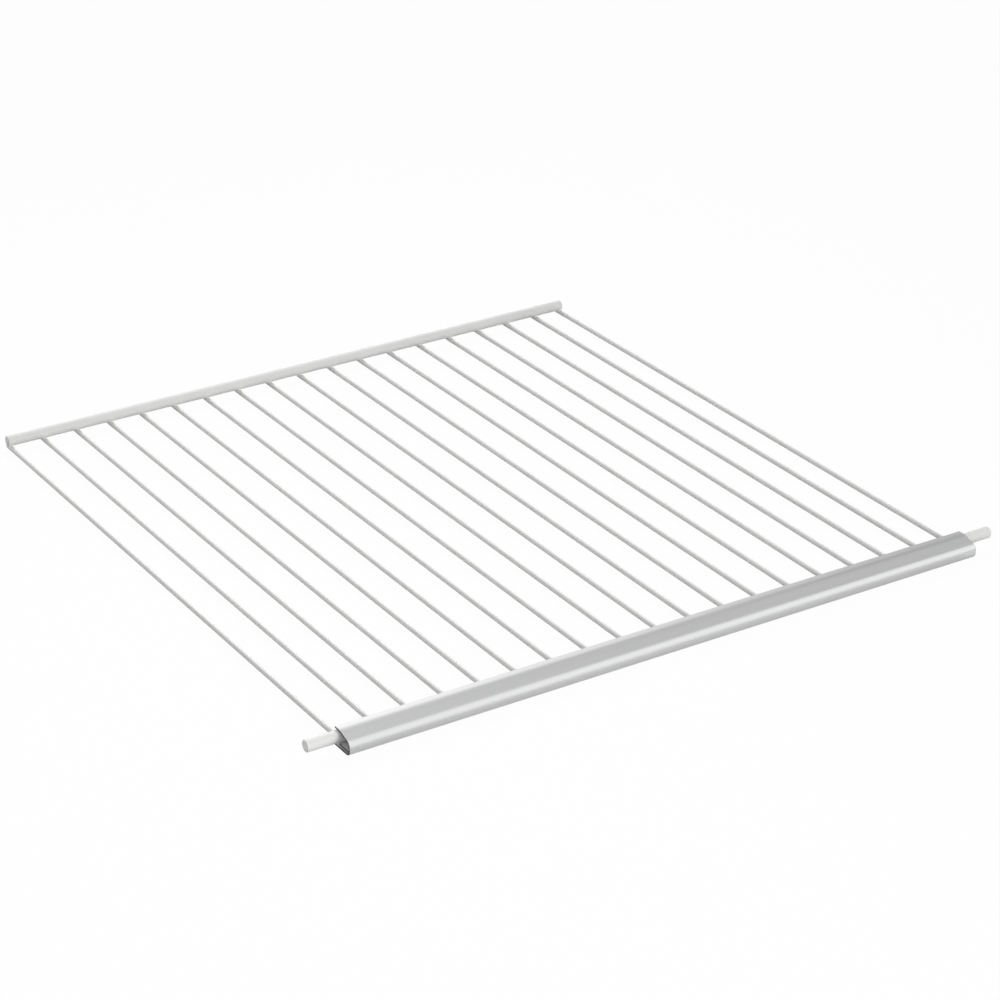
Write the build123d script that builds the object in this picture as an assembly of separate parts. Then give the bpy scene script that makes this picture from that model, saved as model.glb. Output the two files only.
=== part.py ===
from build123d import *

import os
from math import floor, radians, tan

# Wire freezer shelf: coated steel rods and wires welded into a grid, with a metal trim along the front.
# Millimetres. X runs along the rods, Y from the trim to the rear rod, Z up.
# The origin is under the middle of the shelf, level with the trim's underside.

# Layout of the grid
shelf_width = 450.0  # length of the rear rod, with an outer wire flush with each of its ends
rod_spacing = 470.0  # front rod's axis to rear rod's axis
wire_pitch = 25.0  # from wire to wire, counted from the left end; the last gap takes the rest
least_gap_share = 0.5  # share of the pitch that the last gap may not fall under

# Round stock and its welds
rod_diameter = 7.5
wire_diameter = 3.2
weld_set_down = 0.8  # how deep each weld presses its wire into the rod
rod_end_radius = 0.5
wire_end_radius = 0.4
wire_rear_end = 2.5  # wire past the rear rod's axis
wire_front_end = 1.0  # wire past the front rod's axis
pin_length = 21.0  # front rod standing out of the trim at each end

# Front trim, an open extrusion pushed over the front rod
trim_wall = 1.2
trim_overhang = 1.5  # trim past the outer wires at each end
trim_reach = 13.7  # front rod's axis to the trim's front face
trim_slope = 17.6  # degrees that the sloping face falls
lip_back = 3.1  # rod's axis to the lip's back edge
lip_front = 2.2  # rod's axis to the corner that the bend rounds
lip_bend_radius = 12.0
nose_radius = 4.0
heel_radius = 4.2
heel_length = 1.5  # bottom wall past the back of the rod
trim_end_break = 0.15  # edges of the sawn ends

# Clearances in the trim
rod_play = 0.1  # lip and web to the rod
wire_play = 0.1  # bottom wall to the wires
wire_end_play = 0.3  # web to the wires' front ends

# Sizes that follow
rod_radius = rod_diameter / 2
wire_radius = wire_diameter / 2
half_wall = trim_wall / 2
trim_length = shelf_width + 2 * trim_overhang
front_rod_length = trim_length + 2 * pin_length
shelf_depth = trim_reach + rod_spacing + rod_radius
front_y = trim_reach - shelf_depth / 2
rear_y = front_y + rod_spacing
wire_z = trim_wall + wire_play + wire_radius
rod_z = wire_z + wire_radius + rod_radius - weld_set_down
face_y = half_wall - trim_reach  # middle of the trim's front wall, from the front rod's axis


def rod(length, y):
    """A straight rod along X with rounded ends."""
    bar = Pos(0, y, rod_z) * Rot(0, 90, 0) * Cylinder(rod_radius, length)
    return fillet(bar.edges().filter_by(GeomType.CIRCLE), rod_end_radius)


def wire_places():
    """X of each wire: even steps from the left end, then the wire at the right end."""
    span = shelf_width - wire_diameter
    steps = floor(span / wire_pitch - least_gap_share)
    return [step * wire_pitch - span / 2 for step in range(steps + 1)] + [span / 2]


def wire(x, rods):
    """A straight wire along Y that passes under both rods and is welded into their undersides."""
    start = front_y - wire_front_end
    end = rear_y + wire_rear_end
    bar = Pos(x, (start + end) / 2, wire_z) * Rot(90, 0, 0) * Cylinder(wire_radius, end - start)
    bar = fillet(bar.edges().filter_by(GeomType.CIRCLE), wire_end_radius)
    for each in rods:
        bar -= each
    return bar


def trim_skin():
    """Section of the trim's outer wall in Y and Z about the front rod's axis, traced along its middle."""
    lip_z = rod_radius + rod_play + half_wall
    floor_z = half_wall - rod_z
    slope_drop = (-lip_front - face_y) * tan(radians(trim_slope))
    with BuildSketch(Plane.YZ) as section:
        with BuildLine() as middle:
            FilletPolyline(
                (lip_back, lip_z),
                (-lip_front, lip_z),
                (face_y, lip_z - slope_drop),
                (face_y, floor_z),
                (rod_radius + heel_length, floor_z),
                radius=[lip_bend_radius - half_wall, nose_radius - half_wall, heel_radius - half_wall],
            )
        trace(middle.line, trim_wall)
    return section.sketch


def trim_web():
    """Section of the web under the rod, from inside the front wall to just in front of the wires."""
    web_z = -rod_radius - rod_play - half_wall
    web_front = face_y + half_wall / 2
    web_back = -wire_front_end - wire_end_play
    with BuildSketch(Plane.YZ) as section:
        with Locations(((web_front + web_back) / 2, web_z)):
            Rectangle(web_back - web_front, trim_wall)
    return section.sketch


def trim():
    """The front trim, sawn to length, with the edges of its ends broken."""
    skin = extrude(trim_skin(), trim_length / 2, both=True)
    ends = skin.faces().filter_by(Axis.X).sort_by(Axis.X)
    skin = chamfer(ends[0].edges() + ends[-1].edges(), trim_end_break)
    web = extrude(trim_web(), trim_length / 2 - trim_end_break, both=True)
    return Pos(0, front_y, rod_z) * (skin + web)


os.makedirs("parts", exist_ok=True)
front_rod = rod(front_rod_length, front_y)
rear_rod = rod(shelf_width, rear_y)
nodes = {"front_rod": front_rod, "rear_rod": rear_rod, "front_trim": trim()}
for number, place in enumerate(wire_places(), 1):
    nodes[f"wire_{number:02d}"] = wire(place, (front_rod, rear_rod))
for name, solid in nodes.items():
    export_step(solid, f"parts/{name}.step")
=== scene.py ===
# %% [markdown]
# # A wire shelf for a freezer
# The shelf is a flat grid. Nineteen white coated steel wires are welded under a front and a rear rod, and
# a satin metal trim is pushed over the front rod. CAD holds all of these pieces at their real size, and
# they are loaded here as a fixed frame that is never moved or reshaped. This lesson gives each surface
# its finish, adds the coated fillets that the welds have on a real shelf, and then sets up the floor, the
# light and the camera.

# %% Load the frame
import math

import bmesh
import bpy
from mathutils import Matrix, Vector


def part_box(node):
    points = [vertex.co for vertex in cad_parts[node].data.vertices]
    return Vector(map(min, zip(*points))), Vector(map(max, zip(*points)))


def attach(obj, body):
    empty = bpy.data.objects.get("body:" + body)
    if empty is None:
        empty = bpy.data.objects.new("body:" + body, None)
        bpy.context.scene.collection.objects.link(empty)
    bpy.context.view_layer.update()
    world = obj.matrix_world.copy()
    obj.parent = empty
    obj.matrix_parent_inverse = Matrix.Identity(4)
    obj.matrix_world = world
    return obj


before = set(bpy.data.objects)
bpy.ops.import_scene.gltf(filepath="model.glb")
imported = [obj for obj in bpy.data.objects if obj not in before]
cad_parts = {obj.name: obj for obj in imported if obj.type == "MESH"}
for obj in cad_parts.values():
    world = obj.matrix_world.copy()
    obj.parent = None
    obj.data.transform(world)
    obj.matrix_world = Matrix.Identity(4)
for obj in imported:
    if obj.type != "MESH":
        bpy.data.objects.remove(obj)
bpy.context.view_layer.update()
MM = 0.001

# %% [markdown]
# ## Sizes from the frame
# The welds, the saw marks and the camera all refer to the rods, the wires and the trim, so their sizes
# are read from the frame once. A lying rod's box is as high as the rod is thick, and the middle of the
# box is on the rod's axis.

# %% Read the rods, the wires and the trim
rods = {name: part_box(name) for name in ("front_rod", "rear_rod")}
wires = {name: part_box(name) for name in sorted(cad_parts) if name.startswith("wire_")}
trim_low, trim_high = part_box("front_trim")

rod_low, rod_high = rods["rear_rod"]
wire_low, wire_high = next(iter(wires.values()))
rod_radius = (rod_high.z - rod_low.z) / 2
wire_radius = (wire_high.z - wire_low.z) / 2
rod_height = (rod_high.z + rod_low.z) / 2
wire_height = (wire_high.z + wire_low.z) / 2
rod_lines = {name: (low.y + high.y) / 2 for name, (low, high) in rods.items()}
wire_lines = [(low.x + high.x) / 2 for low, high in wires.values()]
print(len(wires), "wires of radius", round(wire_radius / MM, 2), "mm")
print(len(rods), "rods of radius", round(rod_radius / MM, 2), "mm")

# %% [markdown]
# ## Two helpers for materials
# Colours are easiest to pick as hex values, which are sRGB, while a shader works with linear light, so
# one function turns the first into the second. The other function adds a node, sets it up and fills its
# inputs, and every material below is written with it.

# %% Colour and node helpers
def linear(hex_colour):
    """An sRGB hex colour as linear red, green, blue and alpha."""
    shares = [int(hex_colour[start:start + 2], 16) / 255 for start in (1, 3, 5)]
    # This is the curve of sRGB, without its short straight part near black.
    return [((share + 0.055) / 1.055) ** 2.4 for share in shares] + [1.0]


def add(tree, kind, inputs, **settings):
    """A new node with its settings made and its inputs filled: sockets are linked, other values are set."""
    node = tree.nodes.new(kind)
    for name, value in settings.items():
        setattr(node, name, value)
    for name, value in inputs.items():
        if isinstance(value, bpy.types.NodeSocket):
            tree.links.new(value, node.inputs[name])
        else:
            node.inputs[name].default_value = value
    return node


print("mid grey in linear light:", [round(share, 3) for share in linear("#808080")])

# %% [markdown]
# ## White powder coat
# The rods and wires are steel with a white polyester powder coat. The powder is blown on dry and melts in
# an oven, so it sets as a smooth semi-gloss skin with a faint waviness, called orange peel. Its tone
# drifts a little where it lies thicker or thinner. A real peel wave is about 2 mm long, which is under 3
# pixels here, so it is drawn at 4 mm.

# %% Make the powder coat
COAT_WHITE = "#F2F2F1"
COAT_THIN = "#E9E9E8"
COAT_ROUGHNESS = (0.30, 0.40)
COAT_IOR = 1.5
CLOUD_SIZE = 35 * MM
CLOUD_DETAIL = 3.0
PEEL_WAVE = 4 * MM
PEEL_DETAIL = 1.0
PEEL_HEIGHT = 0.01 * MM
# Most values of a noise lie in this span.
NOISE_SPAN = (0.3, 0.7)


def powder_coat():
    """White powder coat: semi-gloss, faintly wavy, with a slow drift in tone."""
    material = bpy.data.materials.new("white_powder_coat")
    material.use_nodes = True
    tree = material.node_tree
    shader = tree.nodes["Principled BSDF"]
    place = add(tree, "ShaderNodeTexCoord", {}).outputs["Object"]
    cloud = add(tree, "ShaderNodeTexNoise", {
        "Vector": place, "Scale": 1 / CLOUD_SIZE, "Detail": CLOUD_DETAIL})
    peel = add(tree, "ShaderNodeTexNoise", {
        "Vector": place, "Scale": 1 / PEEL_WAVE, "Detail": PEEL_DETAIL})
    # Inputs 6 and 7 are the two colours of a Mix node, and output 2 is the mixed colour.
    tone = add(tree, "ShaderNodeMix", {
        "Factor": cloud.outputs["Fac"], 6: linear(COAT_WHITE), 7: linear(COAT_THIN)}, data_type="RGBA")
    gloss = add(tree, "ShaderNodeMapRange", {
        "Value": peel.outputs["Fac"], "From Min": NOISE_SPAN[0], "From Max": NOISE_SPAN[1],
        "To Min": COAT_ROUGHNESS[0], "To Max": COAT_ROUGHNESS[1]})
    waves = add(tree, "ShaderNodeBump", {
        "Height": peel.outputs["Fac"], "Distance": PEEL_HEIGHT, "Strength": 1.0})
    tree.links.new(tone.outputs[2], shader.inputs["Base Color"])
    tree.links.new(gloss.outputs["Result"], shader.inputs["Roughness"])
    tree.links.new(waves.outputs["Normal"], shader.inputs["Normal"])
    shader.inputs["IOR"].default_value = COAT_IOR
    return material


coat = powder_coat()
print("made", coat.name)

# %% [markdown]
# ## Satin anodised aluminium
# The trim is an aluminium extrusion. The die leaves fine lines along its length, etching turns the metal
# satin, and anodising keeps it so. The lines are under 0.1 mm wide, too fine to show, so they are drawn
# 0.6 mm wide. The saw that cut the trim to length left its ends bare and rougher, with marks across them,
# and their colour is painted dark for the shade that the cut ends show. A limit on the X coordinate picks
# out the last 0.2 mm at both ends, which takes in the broken edges. Inside the channel, which nothing
# polishes, the skin stays dull and scatters the light that comes in at the ends. A face is inside if it
# looks towards the middle of the channel.

# %% Make the trim's metal
TRIM_DARK = "#E6E7E7"
TRIM_LIGHT = "#F2F2F2"
# The two tones of the cut ends hold their saw marks, and both are painted dark for the shade on the ends.
CUT_END_SHADE_DARK = "#545557"
CUT_END_SHADE_LIGHT = "#77787A"
TRIM_ROUGHNESS = (0.30, 0.38)
SAWN_ROUGHNESS = 0.5
DIE_LINE_WIDTH = 0.6 * MM
DIE_LINE_LENGTH = 180 * MM
DIE_LINE_DETAIL = 3.0
SAW_MARK_WIDTH = 0.35 * MM
SAW_MARK_LENGTH = 6 * MM
SAW_MARK_DETAIL = 2.0
SAW_MARK_TURN = math.radians(35)
GRAIN_HEIGHT = 0.004 * MM
END_FACE_DEPTH = 0.2 * MM
INSIDE_METALLIC = 0.4
INSIDE_ROUGHNESS = 0.7
CHANNEL_MIDDLE = Vector((0, (trim_low.y + rod_lines["front_rod"]) / 2, rod_height))


def satin_aluminium():
    """Anodised aluminium: satin outside, dull in the channel, saw marks and painted shade on the cut ends.
    """
    material = bpy.data.materials.new("satin_anodised_aluminium")
    material.use_nodes = True
    tree = material.node_tree
    shader = tree.nodes["Principled BSDF"]
    place = add(tree, "ShaderNodeTexCoord", {}).outputs["Object"]

    along = add(tree, "ShaderNodeMapping", {
        "Vector": place, "Scale": (1 / DIE_LINE_LENGTH, 1 / DIE_LINE_WIDTH, 1 / DIE_LINE_WIDTH)})
    lines = add(tree, "ShaderNodeTexNoise", {
        "Vector": along.outputs["Vector"], "Scale": 1.0, "Detail": DIE_LINE_DETAIL})
    satin = add(tree, "ShaderNodeMix", {
        "Factor": lines.outputs["Fac"], 6: linear(TRIM_DARK), 7: linear(TRIM_LIGHT)}, data_type="RGBA")

    across = add(tree, "ShaderNodeMapping", {
        "Vector": place, "Rotation": (SAW_MARK_TURN, 0, 0),
        "Scale": (1 / SAW_MARK_LENGTH, 1 / SAW_MARK_WIDTH, 1 / SAW_MARK_LENGTH)})
    marks = add(tree, "ShaderNodeTexNoise", {
        "Vector": across.outputs["Vector"], "Scale": 1.0, "Detail": SAW_MARK_DETAIL})
    # Painted shade: the cut ends are coloured dark for their shade, with the saw marks between two tones.
    saw_marks_and_shade = add(tree, "ShaderNodeMix", {
        "Factor": marks.outputs["Fac"], 6: linear(CUT_END_SHADE_DARK), 7: linear(CUT_END_SHADE_LIGHT)}, data_type="RGBA")

    end_x = add(tree, "ShaderNodeSeparateXYZ", {"Vector": place}).outputs["X"]
    reach = add(tree, "ShaderNodeMath", {0: end_x}, operation="ABSOLUTE").outputs["Value"]
    is_end = add(tree, "ShaderNodeMath", {0: reach, 1: trim_high.x - END_FACE_DEPTH},
                 operation="GREATER_THAN").outputs["Value"]
    facing = add(tree, "ShaderNodeNewGeometry", {}).outputs["True Normal"]
    outward = add(tree, "ShaderNodeVectorMath", {0: place, 1: CHANNEL_MIDDLE},
                  operation="SUBTRACT").outputs["Vector"]
    outside = add(tree, "ShaderNodeVectorMath", {0: outward, 1: facing},
                  operation="DOT_PRODUCT").outputs["Value"]
    is_inside = add(tree, "ShaderNodeMath", {0: outside, 1: 0.0}, operation="LESS_THAN").outputs["Value"]

    colour = add(tree, "ShaderNodeMix", {
        "Factor": is_end, 6: satin.outputs[2], 7: saw_marks_and_shade.outputs[2]}, data_type="RGBA")
    satin_gloss = add(tree, "ShaderNodeMapRange", {
        "Value": lines.outputs["Fac"], "From Min": NOISE_SPAN[0], "From Max": NOISE_SPAN[1],
        "To Min": TRIM_ROUGHNESS[0], "To Max": TRIM_ROUGHNESS[1]})
    skin_gloss = add(tree, "ShaderNodeMix", {
        "Factor": is_inside, "A": satin_gloss.outputs["Result"], "B": INSIDE_ROUGHNESS})
    gloss = add(tree, "ShaderNodeMix", {
        "Factor": is_end, "A": skin_gloss.outputs["Result"], "B": SAWN_ROUGHNESS})
    skin_metal = add(tree, "ShaderNodeMix", {"Factor": is_inside, "A": 1.0, "B": INSIDE_METALLIC})
    grain = add(tree, "ShaderNodeMix", {
        "Factor": is_end, "A": lines.outputs["Fac"], "B": marks.outputs["Fac"]})
    relief = add(tree, "ShaderNodeBump", {
        "Height": grain.outputs["Result"], "Distance": GRAIN_HEIGHT, "Strength": 1.0})
    tree.links.new(colour.outputs[2], shader.inputs["Base Color"])
    tree.links.new(gloss.outputs["Result"], shader.inputs["Roughness"])
    tree.links.new(skin_metal.outputs["Result"], shader.inputs["Metallic"])
    tree.links.new(relief.outputs["Normal"], shader.inputs["Normal"])
    return material


metal = satin_aluminium()
print("made", metal.name)

# %% [markdown]
# ## Dress the CAD pieces
# Each CAD piece keeps its own mesh and only swaps its material. The trim gets the metal, and every rod
# and wire gets the coat.

# %% Give each CAD piece its finish
for name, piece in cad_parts.items():
    piece.data.materials.clear()
    piece.data.materials.append(metal if name == "front_trim" else coat)
print("dressed", len(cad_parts), "CAD pieces")

# %% [markdown]
# ## Fillets at the welds
# Each wire is pressed into the rods while the spot is hot, and the molten powder then runs into the sharp
# corner round the joint. That leaves a soft fillet, which CAD has no need of. It could be swept round the
# joint, but the seam of two crossing cylinders is an awkward path. It is simpler to join a short stub of
# rod and of wire, remesh them into one skin and smooth it, which fills the hollow corner. The stubs start
# slightly thicker than the CAD pieces, so the skin stands about 0.06 mm proud of them, as powder does that
# builds up at a joint. A weld at a rod's end has a stub that stops there.

# %% Make one weld's fillet
FILLET_VOXEL = 0.3 * MM
FILLET_PASSES = 8
FILLET_PULL = 0.5
FILLET_BUILD_UP = 0.08 * MM
ROD_STUB = 5 * MM
WIRE_STUB = 7 * MM
STUB_SEGMENTS = 48
KEPT_SHARE = 0.4


def add_stub(form, radius, start, end):
    """Adds a capped round stub between two points, thicker by the powder that builds up at a weld."""
    line = end - start
    built_up = radius + FILLET_BUILD_UP
    place = Matrix.Translation((start + end) / 2) @ line.to_track_quat("Z", "Y").to_matrix().to_4x4()
    bmesh.ops.create_cone(form, cap_ends=True, segments=STUB_SEGMENTS, radius1=built_up, radius2=built_up,
                          depth=line.length, matrix=place)


def weld_fillet(left, right, front, rear):
    """The skin of one weld about the point where the wire crosses the rod's axis, seen from above."""
    form = bmesh.new()
    rod_middle = Vector((0, 0, rod_height))
    wire_middle = Vector((0, 0, wire_height))
    add_stub(form, rod_radius, rod_middle - Vector((left, 0, 0)), rod_middle + Vector((right, 0, 0)))
    whole = form.verts[:] + form.edges[:] + form.faces[:]
    lower_half = bmesh.ops.bisect_plane(form, geom=whole, plane_co=rod_middle, plane_no=(0, 0, 1),
                                        clear_outer=True)
    cut = [item for item in lower_half["geom_cut"] if isinstance(item, bmesh.types.BMEdge)]
    bmesh.ops.edgeloop_fill(form, edges=cut)
    add_stub(form, wire_radius, wire_middle - Vector((0, front, 0)), wire_middle + Vector((0, rear, 0)))
    mesh = bpy.data.meshes.new("weld_stubs")
    form.to_mesh(mesh)
    form.free()

    stubs = bpy.data.objects.new("weld_stubs", mesh)
    bpy.context.scene.collection.objects.link(stubs)
    skin = stubs.modifiers.new("one_skin", "REMESH")
    skin.mode = "VOXEL"
    skin.voxel_size = FILLET_VOXEL
    rounding = stubs.modifiers.new("round_the_corner", "SMOOTH")
    rounding.factor = FILLET_PULL
    rounding.iterations = FILLET_PASSES
    lighter = stubs.modifiers.new("fewer_faces", "DECIMATE")
    lighter.ratio = KEPT_SHARE
    evaluated = stubs.evaluated_get(bpy.context.evaluated_depsgraph_get())
    fillet = bpy.data.meshes.new_from_object(evaluated)
    bpy.data.objects.remove(stubs)
    bpy.data.meshes.remove(mesh)
    return fillet


trial = weld_fillet(ROD_STUB, ROD_STUB, WIRE_STUB, WIRE_STUB)
print("one weld has", len(trial.polygons), "faces")
bpy.data.meshes.remove(trial)

# %% [markdown]
# The welds along a rod are alike, apart from the first and last on the rear rod, where the rod ends flush
# with the wire. So each rod's fillets are one mesh, in which the weld is repeated at every wire.

# %% Repeat the fillet along both rods
def fillet_row(rod):
    """Makes all the fillets of one rod as one piece."""
    low, high = rods[rod]
    front = min(WIRE_STUB, rod_lines[rod] - wire_low.y)
    rear = min(WIRE_STUB, wire_high.y - rod_lines[rod])
    row = bmesh.new()
    for line in wire_lines:
        weld = weld_fillet(min(ROD_STUB, line - low.x), min(ROD_STUB, high.x - line), front, rear)
        weld.transform(Matrix.Translation((line, rod_lines[rod], 0)))
        row.from_mesh(weld)
        bpy.data.meshes.remove(weld)
    mesh = bpy.data.meshes.new(f"{rod}_weld_fillets")
    row.to_mesh(mesh)
    row.free()
    mesh.shade_smooth()
    mesh.materials.append(coat)
    piece = bpy.data.objects.new(f"{rod}_weld_fillets", mesh)
    bpy.context.scene.collection.objects.link(piece)
    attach(piece, "root")
    print(piece.name, "has", len(mesh.polygons), "faces")


for rod in rods:
    fillet_row(rod)

# %% [markdown]
# ## Floor and background
# The shelf lies on a plain floor in a white studio. A floor that is only lit would come out grey next to
# the shelf, and more light would bleach the coat. So the eye gets nearly all of the floor as plain white,
# and the small rest is a matt floor that takes the shelf's shadow. A mirror gets far less of the plain
# white, so that the metal shows the shade at its foot. The light that the floor throws back at the shelf
# is that of a grey floor, which leaves the undersides of the wires darker than their tops.

# %% Make the floor
FLOOR_SEEN = "#E8E8E8"
FLOOR_BOUNCE = "#BABAB9"
FLOOR_SIDE = 8.0
GLOW_TO_EYE = 0.97
GLOW_TO_MIRROR = 0.10


def floor_finish():
    """Matt floor, with a share of plain white for rays that show it straight or in a mirror."""
    material = bpy.data.materials.new("pale_floor")
    material.use_nodes = True
    tree = material.node_tree
    tree.nodes.remove(tree.nodes["Principled BSDF"])
    path = add(tree, "ShaderNodeLightPath", {}).outputs
    mirrored = add(tree, "ShaderNodeMath", {0: path["Is Glossy Ray"], 1: path["Is Transmission Ray"]},
                   operation="MAXIMUM").outputs["Value"]
    to_mirror = add(tree, "ShaderNodeMath", {0: mirrored, 1: GLOW_TO_MIRROR},
                    operation="MULTIPLY").outputs["Value"]
    share = add(tree, "ShaderNodeMix", {"Factor": path["Is Camera Ray"], "A": to_mirror, "B": GLOW_TO_EYE})
    colour = add(tree, "ShaderNodeMix", {
        "Factor": path["Is Diffuse Ray"], 6: linear(FLOOR_SEEN), 7: linear(FLOOR_BOUNCE)}, data_type="RGBA")
    matt = add(tree, "ShaderNodeBsdfDiffuse", {"Color": colour.outputs[2]})
    glow = add(tree, "ShaderNodeEmission", {"Color": (1, 1, 1, 1), "Strength": 1.0})
    both = add(tree, "ShaderNodeMixShader", {
        0: share.outputs["Result"], 1: matt.outputs["BSDF"], 2: glow.outputs["Emission"]})
    tree.links.new(both.outputs["Shader"], tree.nodes["Material Output"].inputs["Surface"])
    # The glow lights nothing, so it is kept off the list of lamps.
    material.cycles.emission_sampling = "NONE"
    return material


form = bmesh.new()
bmesh.ops.create_grid(form, x_segments=1, y_segments=1, size=FLOOR_SIDE / 2)
floor_mesh = bpy.data.meshes.new("floor")
form.to_mesh(floor_mesh)
form.free()
floor_mesh.materials.append(floor_finish())
floor = bpy.data.objects.new("floor", floor_mesh)
bpy.context.scene.collection.objects.link(floor)
print("floor of", FLOOR_SIDE, "m a side")

# %% [markdown]
# ## Room
# The room is white to the eye and lights the shelf evenly. Metal mirrors what stands round it, and a
# studio is never white on all sides. Here a lit backdrop behind the shelf ends a little to the right, and
# just past its edge the wall is grey and fades to white further round. Mirrored in the trim, that makes
# its lip bright on the left and dark on the right. The room's left side and its ceiling are less lit, so
# the trim keeps its tone when it is seen from the right or from above. Azimuths are counted to the right
# from straight behind the shelf.

# %% Make the room
ROOM_LIGHT = 0.48
BACKDROP_LEVEL = 1.42
BACKDROP_EDGE = math.radians(33.5)
BACKDROP_BLUR = 0.12
GREY_WALL_LEVEL = 0.36
GREY_WALL_AZIMUTH = math.radians(46)
GREY_WALL_ELEVATION = math.radians(31)
GREY_WALL_CORE = math.radians(5)
GREY_WALL_FADE = math.radians(50)
DIM_SIDE_LEVEL = 0.75
DIM_SIDE_AZIMUTH = math.radians(-90)
DIM_SIDE_ELEVATION = math.radians(20)
DIM_SIDE_START = -0.1
DIM_SIDE_FULL = 0.3


def toward(azimuth, elevation):
    """Unit vector towards a place in the room."""
    level = math.cos(elevation)
    return (math.sin(azimuth) * level, math.cos(azimuth) * level, math.sin(elevation))


grey_wall = toward(GREY_WALL_AZIMUTH, GREY_WALL_ELEVATION)
backdrop_side = toward(BACKDROP_EDGE - math.pi / 2, 0)
dim_side = toward(DIM_SIDE_AZIMUTH, DIM_SIDE_ELEVATION)
world = bpy.data.worlds.new("white_studio")
bpy.context.scene.world = world
world.use_nodes = True
tree = world.node_tree
tree.nodes.clear()
path = add(tree, "ShaderNodeLightPath", {}).outputs
direction = add(tree, "ShaderNodeTexCoord", {}).outputs["Generated"]
nearness = add(tree, "ShaderNodeVectorMath", {0: direction, 1: grey_wall},
               operation="DOT_PRODUCT").outputs["Value"]
wall = add(tree, "ShaderNodeMapRange", {
    "Value": nearness, "From Min": math.cos(GREY_WALL_FADE), "From Max": math.cos(GREY_WALL_CORE),
    "To Min": 1.0, "To Max": GREY_WALL_LEVEL}).outputs["Result"]
leftness = add(tree, "ShaderNodeVectorMath", {0: direction, 1: backdrop_side},
               operation="DOT_PRODUCT").outputs["Value"]
is_backdrop = add(tree, "ShaderNodeMapRange", {
    "Value": leftness, "From Min": -BACKDROP_BLUR, "From Max": BACKDROP_BLUR},
    interpolation_type="SMOOTHSTEP").outputs["Result"]
lit_side = add(tree, "ShaderNodeMix", {
    "Factor": is_backdrop, "A": wall, "B": BACKDROP_LEVEL}).outputs["Result"]
dimness = add(tree, "ShaderNodeVectorMath", {0: direction, 1: dim_side},
              operation="DOT_PRODUCT").outputs["Value"]
is_dim = add(tree, "ShaderNodeMapRange", {
    "Value": dimness, "From Min": DIM_SIDE_START, "From Max": DIM_SIDE_FULL},
    interpolation_type="SMOOTHSTEP").outputs["Result"]
mirrored = add(tree, "ShaderNodeMix", {
    "Factor": is_dim, "A": lit_side, "B": DIM_SIDE_LEVEL}).outputs["Result"]
is_clear = add(tree, "ShaderNodeMath", {0: path["Is Camera Ray"], 1: path["Is Transmission Ray"]},
               operation="MAXIMUM").outputs["Value"]
lit = add(tree, "ShaderNodeMix", {
    "Factor": path["Is Glossy Ray"], "A": ROOM_LIGHT, "B": mirrored}).outputs["Result"]
shown = add(tree, "ShaderNodeMix", {"Factor": is_clear, "A": lit, "B": 1.0}).outputs["Result"]
room = add(tree, "ShaderNodeBackground", {"Color": (1, 1, 1, 1), "Strength": shown})
add(tree, "ShaderNodeOutputWorld", {"Surface": room.outputs["Background"]})
print("the grey wall lies towards", [round(part, 2) for part in grey_wall])

# %% [markdown]
# ## Lamps
# The key is a soft box behind the shelf on the right, with a grid that narrows its beam onto the left
# front corner. So the wires are bright on top and shaded on their left sides, and the shelf is brightest
# on the left. A box in front fills in the rods' front sides, and a weak one behind on the left softens
# the shade there. All three stay out of mirrors, since the room has the panels that the metal shows.

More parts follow.
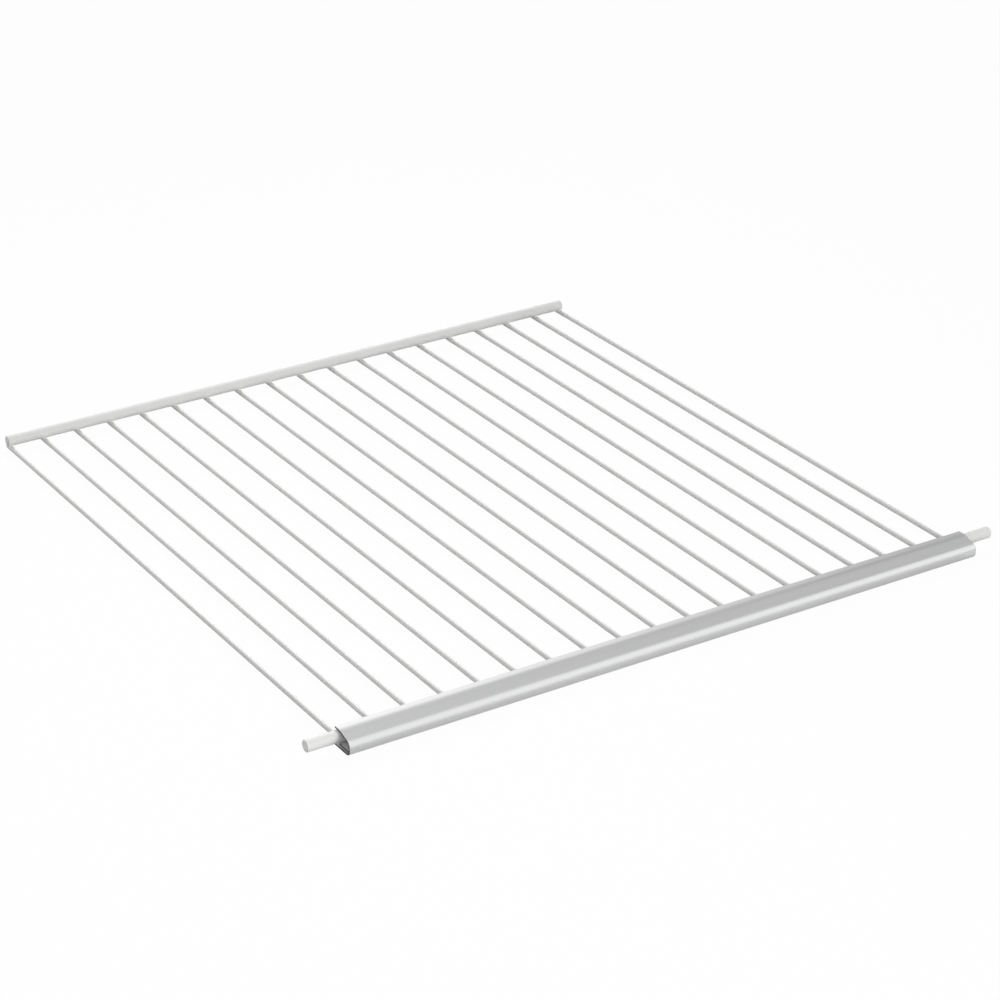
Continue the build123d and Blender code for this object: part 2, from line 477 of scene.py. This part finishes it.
# %% Hang the soft boxes
SOFT_BOXES = {
    "key_box": {"at": (1.25, 1.25, 1.15), "aim": (-0.7, -0.5, 0), "side": 0.5, "watts": 3.0, "beam": 44},
    "fill_box": {"at": (0.2, -1.35, 0.45), "aim": (-0.35, 0, 0), "side": 0.8, "watts": 2.6, "beam": 90},
    "rear_box": {"at": (-0.85, 1.15, 0.65), "aim": (-0.15, 0.15, 0), "side": 0.6, "watts": 0.9, "beam": 120},
}
for name, box in SOFT_BOXES.items():
    lamp = bpy.data.lights.new(name, "AREA")
    lamp.shape = "SQUARE"
    lamp.size = box["side"]
    lamp.energy = box["watts"]
    lamp.spread = math.radians(box["beam"])
    holder = bpy.data.objects.new(name, lamp)
    holder.location = box["at"]
    holder.rotation_mode = "QUATERNION"
    holder.rotation_quaternion = (Vector(box["aim"]) - Vector(box["at"])).to_track_quat("-Z", "Y")
    holder.visible_glossy = False
    bpy.context.scene.collection.objects.link(holder)
print("hung", len(SOFT_BOXES), "soft boxes")

# %% [markdown]
# ## Camera
# The camera was fitted to the straight edges of the shelf in the photograph: it stands to the left of the
# middle, looks down by 26 degrees, and its lens is long, so the wires hardly converge. The aim is a point
# near the middle of the grid, and the focal length is written in pixels of the 1000 pixel frame.

# %% Place the camera
VIEW_TURN = math.radians(-31.449)
VIEW_DROP = math.radians(26.005)
VIEW_ROLL = math.radians(-0.631)
VIEW_DISTANCE = 1977.3 * MM
VIEW_AIM = Vector((15.26 * MM, rod_lines["front_rod"] + 216.79 * MM, wire_height))
FOCAL_PIXELS = 3003.4
FRAME_PIXELS = 1000
SENSOR = 36.0
NEAREST_SEEN = 10 * MM

back = Vector((math.sin(VIEW_TURN) * math.cos(VIEW_DROP), -math.cos(VIEW_TURN) * math.cos(VIEW_DROP),
               math.sin(VIEW_DROP)))
level = Vector((math.cos(VIEW_TURN), math.sin(VIEW_TURN), 0))
upright = Matrix((level, back.cross(level), back)).transposed().to_4x4()
lens = bpy.data.cameras.new("camera")
lens.sensor_width = SENSOR
lens.lens = SENSOR * FOCAL_PIXELS / FRAME_PIXELS
lens.clip_start = NEAREST_SEEN
camera = bpy.data.objects.new("camera", lens)
camera.matrix_world = (Matrix.Translation(VIEW_AIM + back * VIEW_DISTANCE) @ upright
                       @ Matrix.Rotation(VIEW_ROLL, 4, "Z"))
bpy.context.scene.collection.objects.link(camera)
bpy.context.scene.camera = camera
bpy.context.scene.view_settings.view_transform = "Standard"
print("lens", round(lens.lens, 1), "mm at", [round(part, 3) for part in camera.matrix_world.translation])
